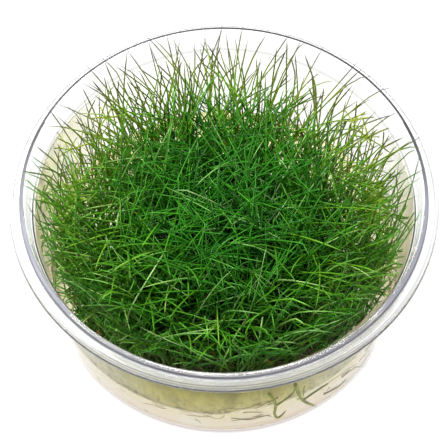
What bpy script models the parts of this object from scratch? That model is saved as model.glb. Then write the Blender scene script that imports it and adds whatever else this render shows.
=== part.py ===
"""Dwarf hairgrass growing in a clear round culture cup, rooted in a bed of nutrient gel.

Metres, +Z up. The origin is the middle of the cup's underside, on the surface that the cup
stands on. The cup is lidless. The turf fills it, and its outer blades lean over the lip.
"""
import math
import random

import bmesh
import bpy
from mathutils import Vector

MM = 0.001

# Cup: a thin moulded tub with a lid seat, a raised lip and a flange turned down at its edge
CUP_HEIGHT = 41.5 * MM
FLANGE_RADIUS = 47.5 * MM
FLANGE_SHOULDER = 46.6 * MM
FLANGE_EDGE_TOP = 39.7 * MM
FLANGE_FOOT = 39.1 * MM
FLANGE_FALL = 0.1 * MM
LIP_OUTER_RADIUS = 45.0 * MM
LIP_INNER_RADIUS = 44.0 * MM
LIP_STEP = 1.0 * MM
LIP_ROUND = 0.25 * MM
LIP_DRAFT = 0.1 * MM
LEDGE_HEIGHT = 36.3 * MM
LEDGE_RADIUS = 42.4 * MM
LEDGE_RUN = 0.4 * MM
LEDGE_RISE = 0.2 * MM
LEDGE_UNDERCUT = 0.3 * MM
FOOT_RADIUS = 40.4 * MM
FOOT_ROUND = 3.0 * MM
WALL = 0.8 * MM
FLOOR = 0.9 * MM
FIRST_SLOPE = -4
CUP_SIDES = 36

# Gel: a set disc with a low meniscus where it climbs the wall
CLEARANCE = 0.3 * MM
GEL_TOP = 13.0 * MM
MENISCUS_RISE = 0.6 * MM
MENISCUS_RUN = 1.6 * MM

# Turf: rings of tufts, each a fan of tapering blade bundles
TUFT_RINGS = ((0, 1), (1, 6), (2, 12), (3, 18))
RING_PITCH = 10.6 * MM
TURF_SHIFT = Vector((0.0, -1.2 * MM))
TUFT_JITTER = 0.9 * MM
TURF_RADIUS = 37.8 * MM
CELL_SIDES = 6
CELL_REACH = 6.6 * MM
CELL_GAP = 0.8 * MM
SHORTEST_SIDE = 2.3 * MM
FOOT_SHARE = 0.82
CROWN_HEIGHT = (20.0 * MM, 25.0 * MM)
CROWN_INSET = 2.3 * MM
BEND_HEIGHT = (32.0 * MM, 38.0 * MM)
BEND_FAN = 0.97
BEND_WIDTH = 0.5
TIP_HEIGHT = (42.0 * MM, 48.6 * MM)
TIP_FAN = 1.1
TIP_WANDER = 0.7 * MM
TALL_TIP_HEIGHT = 49.6 * MM
TALL_SHARE = 0.12

# Lean: how the whole turf opens outward and sways as it rises above the gel
LEAN_TOP = 50.0 * MM
LEAN_SPREAD = 0.30
LEAN_POWER = 1.5
SWAY = 1.6 * MM
SWAY_LENGTH = 34.0 * MM
SWAY_START = (0.6, 2.1)
FURTHEST_TIP = 45.6 * MM
STALK_CLEARANCE = 0.6 * MM
BUNDLE_CLEARANCE = 1.6 * MM

SEED = 41

CLEAR_PLASTIC = ("clear_plastic", (0.93, 0.94, 0.94, 0.35), 0.08)
GEL_TAN = ("gel", (0.80, 0.73, 0.58, 0.75), 0.15)
GRASS_GREEN = ("grass", (0.06, 0.23, 0.03, 1.0), 0.45)


def clear_file():
    """Empties the file that the script runs in."""
    for old in list(bpy.data.objects):
        bpy.data.objects.remove(old)


def make_material(name, colour, roughness):
    """A plain finish with the part's own colour."""
    material = bpy.data.materials.new(name)
    material.use_nodes = True
    shader = material.node_tree.nodes["Principled BSDF"]
    shader.inputs["Base Color"].default_value = colour
    shader.inputs["Alpha"].default_value = colour[3]
    shader.inputs["Roughness"].default_value = roughness
    return material


def add_object(collection, name, mesh, material):
    """One named sub-part in the object's collection."""
    made = bpy.data.objects.new(name, mesh)
    made.data.materials.append(material)
    collection.objects.link(made)
    return made


def arc(centre, radius, start, end, count):
    """Points (r, z) on an arc about a centre, from one angle in degrees to another."""
    points = []
    for i in range(count):
        angle = math.radians(start + (end - start) * i / (count - 1))
        points.append((centre[0] + radius * math.cos(angle), centre[1] + radius * math.sin(angle)))
    return points


def wall_radius(height):
    """The outside of the tapering wall at a height."""
    share = height / LEDGE_HEIGHT
    return FOOT_RADIUS + (LEDGE_RADIUS + WALL - FOOT_RADIUS) * share


def turned(collection, name, profile, material):
    """A body turned about Z from a profile that runs down its outer side."""
    mesh = bpy.data.meshes.new(name)
    points = [(radius, 0.0, height) for radius, height in profile]
    mesh.from_pydata(points, [(i, i + 1) for i in range(len(points) - 1)], [])
    body = add_object(collection, name, mesh, material)
    screw = body.modifiers.new("turn", "SCREW")
    screw.steps = CUP_SIDES
    screw.render_steps = CUP_SIDES
    screw.use_merge_vertices = True
    screw.merge_threshold = 0.00001
    screw.use_smooth_shade = True
    return body


def rim_profile():
    """From the ledge up the neck, over the lip and flange, and back under them to the wall."""
    flange_top = CUP_HEIGHT - LIP_STEP
    under_flange = flange_top - WALL
    seat = [(LEDGE_RADIUS, LEDGE_HEIGHT), (LEDGE_RADIUS + LEDGE_RUN, LEDGE_HEIGHT + LEDGE_RISE)]
    lip = [
        (LIP_INNER_RADIUS - 0.5 * LIP_ROUND, CUP_HEIGHT - LIP_ROUND),
        (LIP_INNER_RADIUS + LIP_ROUND, CUP_HEIGHT),
        (LIP_OUTER_RADIUS - LIP_ROUND, CUP_HEIGHT),
        (LIP_OUTER_RADIUS, CUP_HEIGHT - LIP_ROUND),
        (LIP_OUTER_RADIUS + LIP_DRAFT, flange_top),
    ]
    flange = [
        (FLANGE_SHOULDER, flange_top - FLANGE_FALL),
        (FLANGE_RADIUS, FLANGE_EDGE_TOP),
        (FLANGE_RADIUS, FLANGE_FOOT),
        (FLANGE_RADIUS - WALL, FLANGE_FOOT),
        (FLANGE_SHOULDER - 0.5 * WALL, under_flange),
    ]
    neck = [
        (LIP_INNER_RADIUS + 0.5 * WALL, under_flange),
        (LEDGE_RADIUS + WALL + LEDGE_RUN, LEDGE_HEIGHT - LEDGE_UNDERCUT),
        (wall_radius(LEDGE_HEIGHT - WALL), LEDGE_HEIGHT - WALL),
    ]
    return seat + lip + flange + neck


def cup_profile():
    """Up the inside from the floor, round the rim, and down the outside."""
    inner_round = FOOT_ROUND - WALL
    inner_foot = wall_radius(FOOT_ROUND) - WALL
    inside = [(0.0, FLOOR)]
    inside += arc((inner_foot - inner_round, FLOOR + inner_round), inner_round, -90, FIRST_SLOPE, 4)
    outer_foot = wall_radius(FOOT_ROUND)
    outside = arc((outer_foot - FOOT_ROUND, FOOT_ROUND), FOOT_ROUND, FIRST_SLOPE, -90, 5)
    outside.append((0.0, 0.0))
    return inside + rim_profile() + outside


def gel_profile():
    """Down the gel from the middle of its top to the middle of its underside."""
    side = wall_radius(GEL_TOP) - WALL - CLEARANCE
    bottom = FLOOR + CLEARANCE
    foot = wall_radius(FOOT_ROUND) - WALL - CLEARANCE
    foot_round = FOOT_ROUND - WALL
    profile = [(0.0, GEL_TOP), (side - MENISCUS_RUN, GEL_TOP), (side, GEL_TOP + MENISCUS_RISE)]
    profile += arc((foot - foot_round, bottom + foot_round), foot_round, FIRST_SLOPE, -90, 4)
    profile.append((0.0, bottom))
    return profile


def stand(x, y, z):
    """Where a stalk rooted at (x, y) on the gel has got to by height z, opened out and swayed."""
    rise = max(0.0, (z - GEL_TOP) / (LEAN_TOP - GEL_TOP))
    spread = 1 + LEAN_SPREAD * rise ** LEAN_POWER
    turn = math.tau / SWAY_LENGTH
    sway_x = SWAY * rise * rise * math.sin(turn * y + SWAY_START[0])
    sway_y = SWAY * rise * rise * math.sin(turn * x + SWAY_START[1])
    return Vector((x * spread + sway_x, y * spread + sway_y, z))


def kept_inside(point, reach):
    """A point drawn back to a reach from the axis, where it would go past it."""
    flat = Vector((point.x, point.y))
    if flat.length > reach:
        flat *= reach / flat.length
    return Vector((flat.x, flat.y, point.z))


def tip_reach(bend, tip_height):
    """How far out a tip may be for its stalk to clear the wall and the lip on its way up."""
    if tip_height < CUP_HEIGHT:
        return LEDGE_RADIUS - STALK_CLEARANCE
    near = Vector((bend.x, bend.y)).length
    lip = LIP_INNER_RADIUS - STALK_CLEARANCE
    past_lip = near + (lip - near) * (tip_height - bend.z) / (CUP_HEIGHT - bend.z)
    return min(past_lip, FURTHEST_TIP)


def clipped(corners, point, away):
    """What is left of a convex outline on the near side of a line through a point."""
    kept = []
    for here, there in zip(corners, corners[1:] + corners[:1]):
        past_here = (here - point).dot(away)
        past_there = (there - point).dot(away)
        if past_here <= 0:
            kept.append(here)
        if (past_here < 0) != (past_there < 0):
            kept.append(here.lerp(there, past_here / (past_here - past_there)))
    return kept


def cell_outline(place, places, turn):
    """The ground that one tuft holds among its neighbours, as a convex outline."""
    corners = []
    for side in range(CELL_SIDES):
        angle = turn + math.tau * side / CELL_SIDES
        corners.append(place + CELL_REACH * Vector((math.cos(angle), math.sin(angle))))
    for other in places:
        apart = other - place
        if 0 < apart.length < 2 * CELL_REACH:
            away = apart.normalized()
            corners = clipped(corners, place + 0.5 * apart - 0.5 * CELL_GAP * away, away)
    corners = [kept_inside(corner.to_3d(), TURF_RADIUS).xy for corner in corners]
    outline = [corners[0]]
    for corner in corners[1:]:
        if (corner - outline[-1]).length > SHORTEST_SIDE:
            outline.append(corner)
    if (outline[0] - outline[-1]).length < SHORTEST_SIDE:
        outline.pop()
    return outline


def add_sheaf(bm, outline, place, crown_height):
    """The tuft's lower part, from its foot on the gel to its flat crown, which it returns."""
    foot = bm.faces.new([bm.verts.new((corner.x, corner.y, 0.0)) for corner in outline])
    raised = bmesh.ops.extrude_face_region(bm, geom=[foot], use_keep_orig=True)["geom"]
    crown = next(part for part in raised if isinstance(part, bmesh.types.BMFace))
    crown_verts = set(crown.verts)
    for vert in bm.verts:
        if vert in crown_verts:
            vert.co = stand(vert.co.x, vert.co.y, crown_height)
        else:
            inward = place.lerp(vert.co.xy, FOOT_SHARE)
            vert.co = (inward.x, inward.y, GEL_TOP + CLEARANCE)
    bmesh.ops.recalc_face_normals(bm, faces=bm.faces)
    return crown


def crown_faces(bm, crown):
    """Parts the flat crown of a tuft into the bundles that its stalks rise from."""
    bmesh.ops.inset_individual(bm, faces=[crown], thickness=CROWN_INSET)
    border = [face for face in bm.faces if face is not crown and face.normal.z > 0.9]
    split = bmesh.ops.triangulate(bm, faces=border)["faces"]
    return split + bmesh.ops.poke(bm, faces=[crown])["faces"]


def bend_bundle(face, place, crown_place, dice):
    """Moves the raised end of a bundle to its bend, narrowed, and returns where its tip will be."""
    centre = face.calc_center_median()
    out = centre.xy - crown_place
    bend_height = dice.uniform(*BEND_HEIGHT)
    root = place + out * BEND_FAN
    bend = stand(root.x, root.y, bend_height)
    bend = kept_inside(bend, wall_radius(bend_height) - WALL - BUNDLE_CLEARANCE)
    for vert in face.verts:
        offset = vert.co - centre
        vert.co = bend + BEND_WIDTH * Vector((offset.x, offset.y, 0.0))
    tip_height = dice.uniform(*TIP_HEIGHT)
    if dice.random() < TALL_SHARE:
        tip_height = TALL_TIP_HEIGHT
    root = place + out * TIP_FAN
    tip = stand(root.x, root.y, tip_height)
    tip.x += dice.uniform(-TIP_WANDER, TIP_WANDER)
    tip.y += dice.uniform(-TIP_WANDER, TIP_WANDER)
    return kept_inside(tip, tip_reach(bend, tip_height))


def tuft_mesh(name, place, places, dice):
    """One tuft: a sheaf of stalks that parts into tapering, bent bundles."""
    crown_height = dice.uniform(*CROWN_HEIGHT)
    outline = cell_outline(place, places, dice.uniform(0, math.tau))
    bm = bmesh.new()
    crown = add_sheaf(bm, outline, place, crown_height)
    bundles = crown_faces(bm, crown)
    crown_place = stand(place.x, place.y, crown_height).xy
    raised = bmesh.ops.extrude_discrete_faces(bm, faces=bundles)["faces"]
    tips = [bend_bundle(face, place, crown_place, dice) for face in raised]
    for face, tip in zip(raised, tips):
        for vert in bmesh.ops.poke(bm, faces=[face])["verts"]:
            vert.co = tip
    mesh = bpy.data.meshes.new(name)
    bm.to_mesh(mesh)
    bm.free()
    return mesh


def tuft_places(dice):
    """The middle of each tuft, ring by ring from the turf's middle outward."""
    places = []
    for ring, count in TUFT_RINGS:
        for i in range(count):
            angle = math.tau * (i + 0.5 * (ring % 2)) / count
            spot = Vector((math.cos(angle), math.sin(angle))) * ring * RING_PITCH + TURF_SHIFT
            spot.x += dice.uniform(-TUFT_JITTER, TUFT_JITTER)
            spot.y += dice.uniform(-TUFT_JITTER, TUFT_JITTER)
            places.append(spot)
    return places


def add_turf(collection, material):
    """Every tuft, numbered from the middle of the turf outward."""
    dice = random.Random(SEED)
    places = tuft_places(dice)
    for number, place in enumerate(places, start=1):
        name = f"tuft_{number:02d}"
        add_object(collection, name, tuft_mesh(name, place, places, dice), material)


def main():
    clear_file()
    collection = bpy.data.collections.new("dwarf_hairgrass")
    bpy.context.scene.collection.children.link(collection)
    turned(collection, "cup", cup_profile(), make_material(*CLEAR_PLASTIC))
    turned(collection, "nutrient_gel", gel_profile(), make_material(*GEL_TAN))
    add_turf(collection, make_material(*GRASS_GREEN))


main()
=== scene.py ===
"""Dwarf hairgrass in its clear culture cup: the finish of every surface, the blades and the light.

Metres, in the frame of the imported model: +Z up, the origin under the middle of the cup, and
the camera on the -Y side. Places read from the photograph are pixels of its 447 x 447 frame.
"""

import math

import bpy
import numpy as np
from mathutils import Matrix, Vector


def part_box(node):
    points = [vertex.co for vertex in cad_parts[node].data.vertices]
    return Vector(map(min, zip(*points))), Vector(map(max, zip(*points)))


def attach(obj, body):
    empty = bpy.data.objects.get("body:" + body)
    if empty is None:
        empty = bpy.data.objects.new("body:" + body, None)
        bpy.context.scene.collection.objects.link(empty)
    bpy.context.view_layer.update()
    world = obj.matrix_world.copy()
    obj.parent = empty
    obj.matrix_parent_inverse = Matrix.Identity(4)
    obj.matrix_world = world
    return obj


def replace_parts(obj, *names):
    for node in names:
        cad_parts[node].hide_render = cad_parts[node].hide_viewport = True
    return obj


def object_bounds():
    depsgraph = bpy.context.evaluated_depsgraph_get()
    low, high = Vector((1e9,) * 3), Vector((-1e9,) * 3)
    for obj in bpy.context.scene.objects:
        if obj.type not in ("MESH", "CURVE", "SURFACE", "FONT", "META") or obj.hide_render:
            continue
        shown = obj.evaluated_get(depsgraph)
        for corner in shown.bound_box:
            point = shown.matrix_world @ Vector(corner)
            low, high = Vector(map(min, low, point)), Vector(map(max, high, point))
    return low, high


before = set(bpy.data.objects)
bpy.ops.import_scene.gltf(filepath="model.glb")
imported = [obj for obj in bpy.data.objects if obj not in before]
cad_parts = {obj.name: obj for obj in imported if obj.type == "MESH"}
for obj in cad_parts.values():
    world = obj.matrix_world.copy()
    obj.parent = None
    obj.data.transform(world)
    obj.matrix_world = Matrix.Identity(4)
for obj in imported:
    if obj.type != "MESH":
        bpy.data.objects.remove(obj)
CAD_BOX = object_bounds()

MM = 0.001

# Camera: a long lens close above the rim
PHOTO_PIXELS = 447
FOCAL_PIXELS = 1700
SENSOR = 36.0
CAMERA_TARGET = Vector((-0.1, 0.0, 27.5)) * MM
CAMERA_DISTANCE = 386.6 * MM
CAMERA_ELEVATION = math.radians(59.7)
CAMERA_BACK = Vector((0.0, -math.cos(CAMERA_ELEVATION), math.sin(CAMERA_ELEVATION)))
CAMERA_UP = Vector((0.0, math.sin(CAMERA_ELEVATION), math.cos(CAMERA_ELEVATION)))

# Cup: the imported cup's own section, turned finer
CUP_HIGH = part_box("cup")[1]
CUP_HEIGHT = CUP_HIGH[2]
FLANGE_RADIUS = CUP_HIGH[0]
LEDGE_HEIGHT = CUP_HEIGHT - 5.2 * MM
LEDGE_RADIUS = FLANGE_RADIUS - 5.1 * MM
FOOT_RADIUS = FLANGE_RADIUS - 7.1 * MM
FOOT_ROUND = 3.0 * MM
LIP_INNER = FLANGE_RADIUS - 3.5 * MM
LIP_OUTER = FLANGE_RADIUS - 2.5 * MM
FLANGE_EDGE_TOP = CUP_HEIGHT - 1.8 * MM
FLANGE_EDGE_FOOT = CUP_HEIGHT - 2.4 * MM
WALL = 0.8 * MM
FLOOR = 0.9 * MM
CORNER_ROUND = 0.22 * MM
TURNS = 192

# Shading stays flat along a straight run longer than this, with points this near to its ends
LONG_RUN = 3 * MM
HELD_END = 0.3 * MM

# The lip's edge that is painted dark: where along its top the finer faces lie, and how wide it is by how far
# back
LIP_EDGE = 0.5 * MM
LIP_EDGE_WIDTHS = ((18 * MM, 0.52 * MM), (6 * MM, 0.66 * MM), (-30 * MM, 0.80 * MM))
LIP_EDGE_SIDE = (-0.25 * MM, 0.12 * MM)
LIP_EDGE_DROP = (0.9 * MM, 0.3 * MM)

# Clear things: how strongly each bends light, and the grades of the rim, each clearer than the next
WALL_BEND = 1.06
RIM_BEND = 1.25
LIP_EDGE_BEND = 1.3
GEL_BEND = 1.12
FILM_BEND = 1.1
RIM_CLEARNESS = (("far", 0.92), ("side", 0.84), ("near", 0.76))
RIM_GRADES = (-12 * MM, -28 * MM)
RIM_FOOT = LEDGE_HEIGHT - 0.5 * MM
RING_SOFTNESS = 0.06 * MM

# Gel: the bed, and the film that it left on the wall when it was poured, olive with painted shade before the
# turf
GEL_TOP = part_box("nutrient_gel")[1][2] - 0.6 * MM
GEL_GAP = 0.08 * MM
GEL_TURNS = 384
GEL_CLIMB_WIDTH = 1.1 * MM
GEL_CLIMB = 0.3 * MM
FILM_GAP = 0.05 * MM
FILM_THICKNESS = 0.12 * MM
FILM_FOOT = GEL_TOP + 0.5 * MM
FILM_TOP = LEDGE_HEIGHT - 0.5 * MM
FILM_WAVES = ((1.4, 5, 0.7), (0.8, 11, 2.0), (0.5, 23, 0.0))
FILM_WAVE_HEIGHT = 0.24 * MM
FILM_WAVE_DROP = 0.5 * MM
FILM_FADE = (6 * MM, 28 * MM)
FILM_ROWS = 24

# Where runners lie between the wall and the gel: how deep the room for them is, and its angles
RUNNER_ROOM = 0.9 * MM
RUNNER_SECTOR = (math.radians(-84), math.radians(-38))
RUNNER_FADE = math.radians(8)
RUNNER_GAP = 0.04 * MM

# Blades
RINGS = 13
SIDES = 5
LONG_BLADES = 76
SHORT_BLADES = 52
CROWNS_PER_TUFT = 14
BLADE_LENGTH = (33 * MM, 49 * MM)
UPRIGHT_LENGTH = (26 * MM, 35 * MM)
SHORT_LENGTH = (9 * MM, 20 * MM)
BLADE_RADIUS = (0.155 * MM, 0.225 * MM)
PLACED_RADIUS = (0.18 * MM, 0.23 * MM)
ROOT_DEPTH = 0.6 * MM
SMOOTHING = 160
TOP_LIMIT = CAD_BOX[1][2] - 0.25 * MM
REACH_LIMIT = FLANGE_RADIUS - 0.6 * MM
OUTER_TURF = 38.6 * MM
FAR_SETBACK = 2 * MM
SEED = 20

# How the blades of a tuft stand: degrees from upright at the foot and at the tip, and their spread
CROWN_SPREAD = 5.4 * MM
ROOT_SPREAD = 0.4 * MM
UPRIGHT_SHARE = 0.25
UPRIGHT_FOOT = (0, 12)
UPRIGHT_TIP = (5, 40)
ARCHING_FOOT = (4, 26)
ARCHING_TIP = (45, 98)
EDGE_STIFFER = 16
OUTWARD_SHARE = 0.25
BEND_GROWTH = 1.15

# How the turf thins near the wall: shares of its blades, lengths and thickness that are lost there
FAR_LOSS = 0.66
FAR_SHORTER = (0.22, 0.48)
FAR_SHORTER_ODDS = (0.2, 0.8)
SHORT_LOSS = 0.6
RIM_THINNER = 0.3
RIM_THINNER_FAR = 0.18

# How far the blades keep from the wall, and how those that would touch it are set upright
BLADE_GAP = 0.4 * MM
WALL_CLEARANCE = (0.3 * MM, 3.0 * MM)
SIDE_CLEARANCE = 1.8 * MM
TURNED_SHARE = 0.7
TURNED_LESS_NEAR = 0.6
UPRIGHT_TRIES = 14
UPRIGHT_STEP = 0.86

# Long blades of the far edge, each by the pixel of its tip and one lower down
FAR_BLADES = (
    ((205, 41), (232, 83)), ((213, 46), (211, 80)), ((210, 52), (190, 75)), ((221, 46), (211, 70)),
    ((196, 62), (209, 88)), ((199, 61), (220, 76)), ((181, 61), (178, 80)), ((156, 63), (178, 84)),
    ((137, 67), (168, 88)), ((114, 65), (155, 94)), ((126, 80), (138, 104)), ((127, 81), (153, 100)),
    ((126, 94), (148, 112)), ((119, 79), (117, 98)), ((111, 82), (133, 110)), ((104, 76), (110, 102)),
    ((91, 79), (115, 108)), ((93, 94), (119, 114)), ((82, 87), (96, 115)), ((96, 98), (86, 118)),
    ((62, 121), (84, 140)), ((76, 117), (86, 134)), ((55, 137), (80, 149)), ((57, 143), (65, 158)),
    ((53, 148), (62, 166)), ((36, 146), (58, 164)), ((36, 166), (58, 172)), ((21, 171), (52, 176)),
    ((43, 178), (55, 190)), ((44, 190), (55, 205)), ((33, 196), (46, 220)), ((162, 68), (160, 92)),
    ((172, 74), (160, 104)), ((151, 86), (143, 106)), ((186, 76), (185, 96)), ((290, 33), (262, 75)),
    ((277, 47), (272, 84)), ((287, 48), (274, 78)), ((295, 52), (298, 90)), ((291, 58), (296, 76)),
    ((304, 53), (317, 88)), ((262, 68), (260, 92)), ((241, 61), (246, 95)), ((241, 61), (222, 77)),
    ((290, 73), (274, 93)), ((308, 86), (315, 102)), ((324, 87), (321, 106)), ((338, 93), (329, 124)),
    ((353, 85), (331, 110)), ((346, 100), (341, 126)), ((357, 100), (354, 130)), ((360, 106), (339, 120)),
    ((352, 121), (346, 140)), ((348, 119), (339, 137)), ((379, 128), (358, 146)), ((384, 129), (383, 146)),
    ((390, 134), (378, 155)), ((404, 137), (378, 150)), ((422, 136), (387, 157)), ((406, 171), (378, 183)),
    ((397, 169), (384, 182)), ((406, 186), (397, 204)), ((389, 155), (377, 180)), ((400, 174), (390, 200)),
    ((415, 211), (406, 226)),
)
FAR_TIP_HEIGHT = 45.5 * MM
FAR_MIDDLE_SHARE = 0.58
FAR_CARRY_ON = 0.5

# Arching blades that lie over the rest, each by three pixels from its tip to where it dives in
OVER_BLADES = (
    ((90, 242), (107, 240), (135, 242)), ((94, 269), (114, 272), (137, 281)),
    ((71, 277), (104, 280), (138, 295)), ((90, 297), (122, 301), (153, 322)),
    ((80, 306), (104, 304), (130, 307)), ((180, 314), (166, 316), (150, 323)),
    ((166, 279), (196, 265), (228, 270)), ((223, 242), (256, 244), (287, 262)),
    ((179, 250), (150, 252), (121, 271)), ((168, 246), (150, 276), (126, 313)),
    ((193, 334), (185, 327), (177, 319)), ((224, 334), (198, 333), (168, 334)),
    ((209, 347), (208, 330), (204, 311)), ((337, 290), (306, 282), (270, 277)),
    ((223, 282), (238, 284), (253, 288)), ((346, 299), (320, 291), (292, 279)),
    ((372, 256), (342, 261), (316, 277)), ((378, 299), (344, 297), (312, 310)),
    ((361, 316), (325, 310), (286, 312)), ((340, 334), (304, 327), (270, 341)),
    ((269, 315), (246, 312), (222, 308)), ((250, 338), (236, 335), (222, 334)),
    ((294, 352), (273, 346), (251, 349)), ((263, 354), (242, 353), (222, 360)),
    ((310, 252), (338, 237), (368, 225)), ((276, 338), (273, 318), (269, 300)),
    ((258, 345), (261, 330), (263, 312)),
)
OVER_HEIGHTS = (40.5 * MM, 43.5 * MM, 39.0 * MM)
OVER_CARRY_ON = 0.35

# Young plants on raised runners: the node's pixel, its height in millimetres and its blades
PLANTLETS = (
    ((368, 138), 38.0, 8), ((389, 214), 30.0, 7), ((398, 219), 29.0, 6), ((54, 203), 31.0, 8),
    ((44, 194), 31.0, 5), ((352, 121), 39.0, 6), ((380, 188), 33.0, 6), ((48, 238), 28.0, 7),
    ((106, 118), 38.0, 6), ((70, 150), 36.0, 6),
)

# More of them close to the wall, by radians from either side: the front most, likeliest and back most
EDGE_PLANTLETS = 130
EDGE_TURNS = (-1.15, -0.6, 0.45)
EDGE_AWAY = (32 * MM, 39.5 * MM)
EDGE_SETBACK = 3.5 * MM
EDGE_SETBACK_TURN = 0.35
EDGE_HEIGHTS = (22 * MM, 35 * MM)
EDGE_BLADES = (5, 9)
PLANTLET_RADIUS = (0.15 * MM, 0.21 * MM)
PLANTLET_REACH = (3.0 * MM, 7.0 * MM)
PLANTLET_RISE = (-0.1, 0.75)
PLANTLET_DROOP = 0.8 * MM

# Short dead bits low in the turf, each by the pixels of its two ends
DEAD_BITS = (
    ((73, 298), (76, 305)), ((76, 301), (80, 304)), ((266, 359), (271, 363)), ((79, 282), (83, 286)),
    ((337, 227), (341, 231)), ((341, 228), (343, 233)), ((97, 331), (101, 334)), ((211, 352), (215, 354)),
)
DEAD_HEIGHTS = (31.0 * MM, 33.0 * MM)
DEAD = -1.0

# Roots in the gel
ROOT_COUNT = 90
ROOT_RADIUS = (0.07 * MM, 0.14 * MM)
ROOT_INSET = 0.17 * MM
ROOT_LOWEST = 3 * MM
ROOT_HIGHEST = GEL_TOP + 5 * MM
ROOT_SWING = math.radians(9)
ROOT_FALL = 3.0 * MM
ROOT_WAVER = 0.5 * MM

# Runners and thin roots pressed on the inside of the wall, each by its radius and its pixels
RUNNERS = (
    (0.42 * MM, ((295, 383), (299, 396), (304, 401), (316, 405))),
    (0.26 * MM, ((301, 400), (314, 391), (329, 381))),
    (0.16 * MM, ((303, 395), (303, 390), (304, 384))),
    (0.20 * MM, ((323, 393), (337, 386), (346, 377))),
    (0.38 * MM, ((269, 393), (277, 404), (273, 413), (277, 419), (286, 409))),
    (0.24 * MM, ((277, 404), (291, 394), (296, 385))),
    (0.12 * MM, ((231, 417), (249, 419), (271, 413))),
    (0.12 * MM, ((352, 366), (364, 367), (366, 360))),
    (0.10 * MM, ((146, 408), (147, 410), (149, 412))),
    (0.12 * MM, ((99, 376), (100, 378), (101, 381))),
)

# Light
SKY_STRENGTH = 0.5
SKY_GREYS = ((0.0, 0.85), (0.15, 0.9), (0.3, 1.0), (1.0, 1.0))
BOX_SIZE = (0.4, 0.3)
BOX_PLACE = (-0.15, 0.25, 0.6)
BOX_AIM = Vector((0, 0, 0.03))
BOX_POWER = 7.3
TABLE_HALF = 1.5
TABLE_DROP = 0.05 * MM


def set_values(shader, **values):
    """Sets a shader's plain sockets by name, with _ for a space."""
    for name, value in values.items():
        shader.inputs[name.replace("_", " ")].default_value = value


def new_material(name):
    """A node material, with its tree and its shader."""
    material = bpy.data.materials.new(name)
    material.use_nodes = True
    tree = material.node_tree
    return material, tree, tree.nodes["Principled BSDF"]


def add_node(tree, kind, **settings):
    """A node with its settings made in one call."""
    node = tree.nodes.new(kind)
    for name, value in settings.items():
        setattr(node, name, value)
    return node


def grey(value):
    """A grey as a colour."""
    return (value, value, value)


def ramp(tree, source, stops):
    """A colour ramp read from a value."""
    node = add_node(tree, "ShaderNodeValToRGB")
    elements = node.color_ramp.elements
    while len(elements) < len(stops):
        elements.new(0.5)
    for element, (position, colour) in zip(elements, stops):
        element.position = position
        element.color = (*colour, 1.0)
    tree.links.new(source, node.inputs["Fac"])
    return node.outputs["Color"]


def mix_colour(tree, share, first, second, blend="MIX"):
    """Two colours mixed by a share that is a number or a socket."""
    node = add_node(tree, "ShaderNodeMix", data_type="RGBA", blend_type=blend)
    for socket, value in ((node.inputs[0], share), (node.inputs[6], first), (node.inputs[7], second)):
        if isinstance(value, (float, int)):
            socket.default_value = value
        elif isinstance(value, tuple):
            socket.default_value = (*value, 1.0)
        else:
            tree.links.new(value, socket)
    return node.outputs[2]


def arithmetic(tree, operation, first, second):
    """One sum on two sockets or numbers."""
    node = add_node(tree, "ShaderNodeMath", operation=operation)
    for socket, value in zip(node.inputs, (first, second)):
        if isinstance(value, (float, int)):
            socket.default_value = value
        else:
            tree.links.new(value, socket)
    return node.outputs[0]


def open_group(name, entries, leaves):
    """An empty shader node group with its number sockets, and its two end nodes."""
    group = bpy.data.node_groups.new(name, "ShaderNodeTree")
    for entry in entries:
        group.interface.new_socket(entry, in_out="INPUT", socket_type="NodeSocketFloat")
    for leave in leaves:
        group.interface.new_socket(leave, in_out="OUTPUT", socket_type="NodeSocketFloat")
    return group, add_node(group, "NodeGroupInput"), add_node(group, "NodeGroupOutput")


def place_group(tree, group, **values):
    """A group placed in a material with its own values."""
    node = add_node(tree, "ShaderNodeGroup", node_tree=group)
    set_values(node, **values)
    return node


def mottle_group():
    """Uneven natural colour and surface: a soft blotch mask, a fine grain mask and their height."""
    group, entry, leave = open_group(
        "natural_mottle", ("Blotch Scale", "Grain Scale"), ("Blotch", "Grain", "Height"))
    place = add_node(group, "ShaderNodeTexCoord")
    blotch = add_node(group, "ShaderNodeTexNoise")
    blotch.inputs["Detail"].default_value = 3.0
    grain = add_node(group, "ShaderNodeTexNoise")
    link = group.links.new
    link(place.outputs["Object"], blotch.inputs["Vector"])
    link(place.outputs["Object"], grain.inputs["Vector"])
    link(entry.outputs["Blotch Scale"], blotch.inputs["Scale"])
    link(entry.outputs["Grain Scale"], grain.inputs["Scale"])
    link(blotch.outputs["Fac"], leave.inputs["Blotch"])
    link(grain.outputs["Fac"], leave.inputs["Grain"])
    link(arithmetic(group, "ADD", arithmetic(group, "MULTIPLY", grain.outputs["Fac"], 0.5),
                    blotch.outputs["Fac"]), leave.inputs["Height"])
    return group


def round_place_group():
    """How far a point is from the cup's axis, how high it is, and how far right and back."""
    group, entry, leave = open_group("round_place", (), ("Away", "Height", "Right", "Back"))
    place = add_node(group, "ShaderNodeTexCoord")
    split = add_node(group, "ShaderNodeSeparateXYZ")
    group.links.new(place.outputs["Object"], split.inputs["Vector"])
    x, y, z = split.outputs
    across, along = (arithmetic(group, "MULTIPLY", side, side) for side in (x, y))
    squares = arithmetic(group, "ADD", across, along)
    group.links.new(arithmetic(group, "SQRT", squares, 0.0), leave.inputs["Away"])
    group.links.new(z, leave.inputs["Height"])
    group.links.new(x, leave.inputs["Right"])
    group.links.new(y, leave.inputs["Back"])
    return group


def value_range(tree, source, low, high, start=0.3, end=0.7):
    """A value between start and end spread over a range."""
    node = add_node(tree, "ShaderNodeMapRange")
    node.inputs["From Min"].default_value = start
    node.inputs["From Max"].default_value = end
    node.inputs["To Min"].default_value = low
    node.inputs["To Max"].default_value = high
    tree.links.new(source, node.inputs["Value"])
    return node.outputs["Result"]


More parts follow.
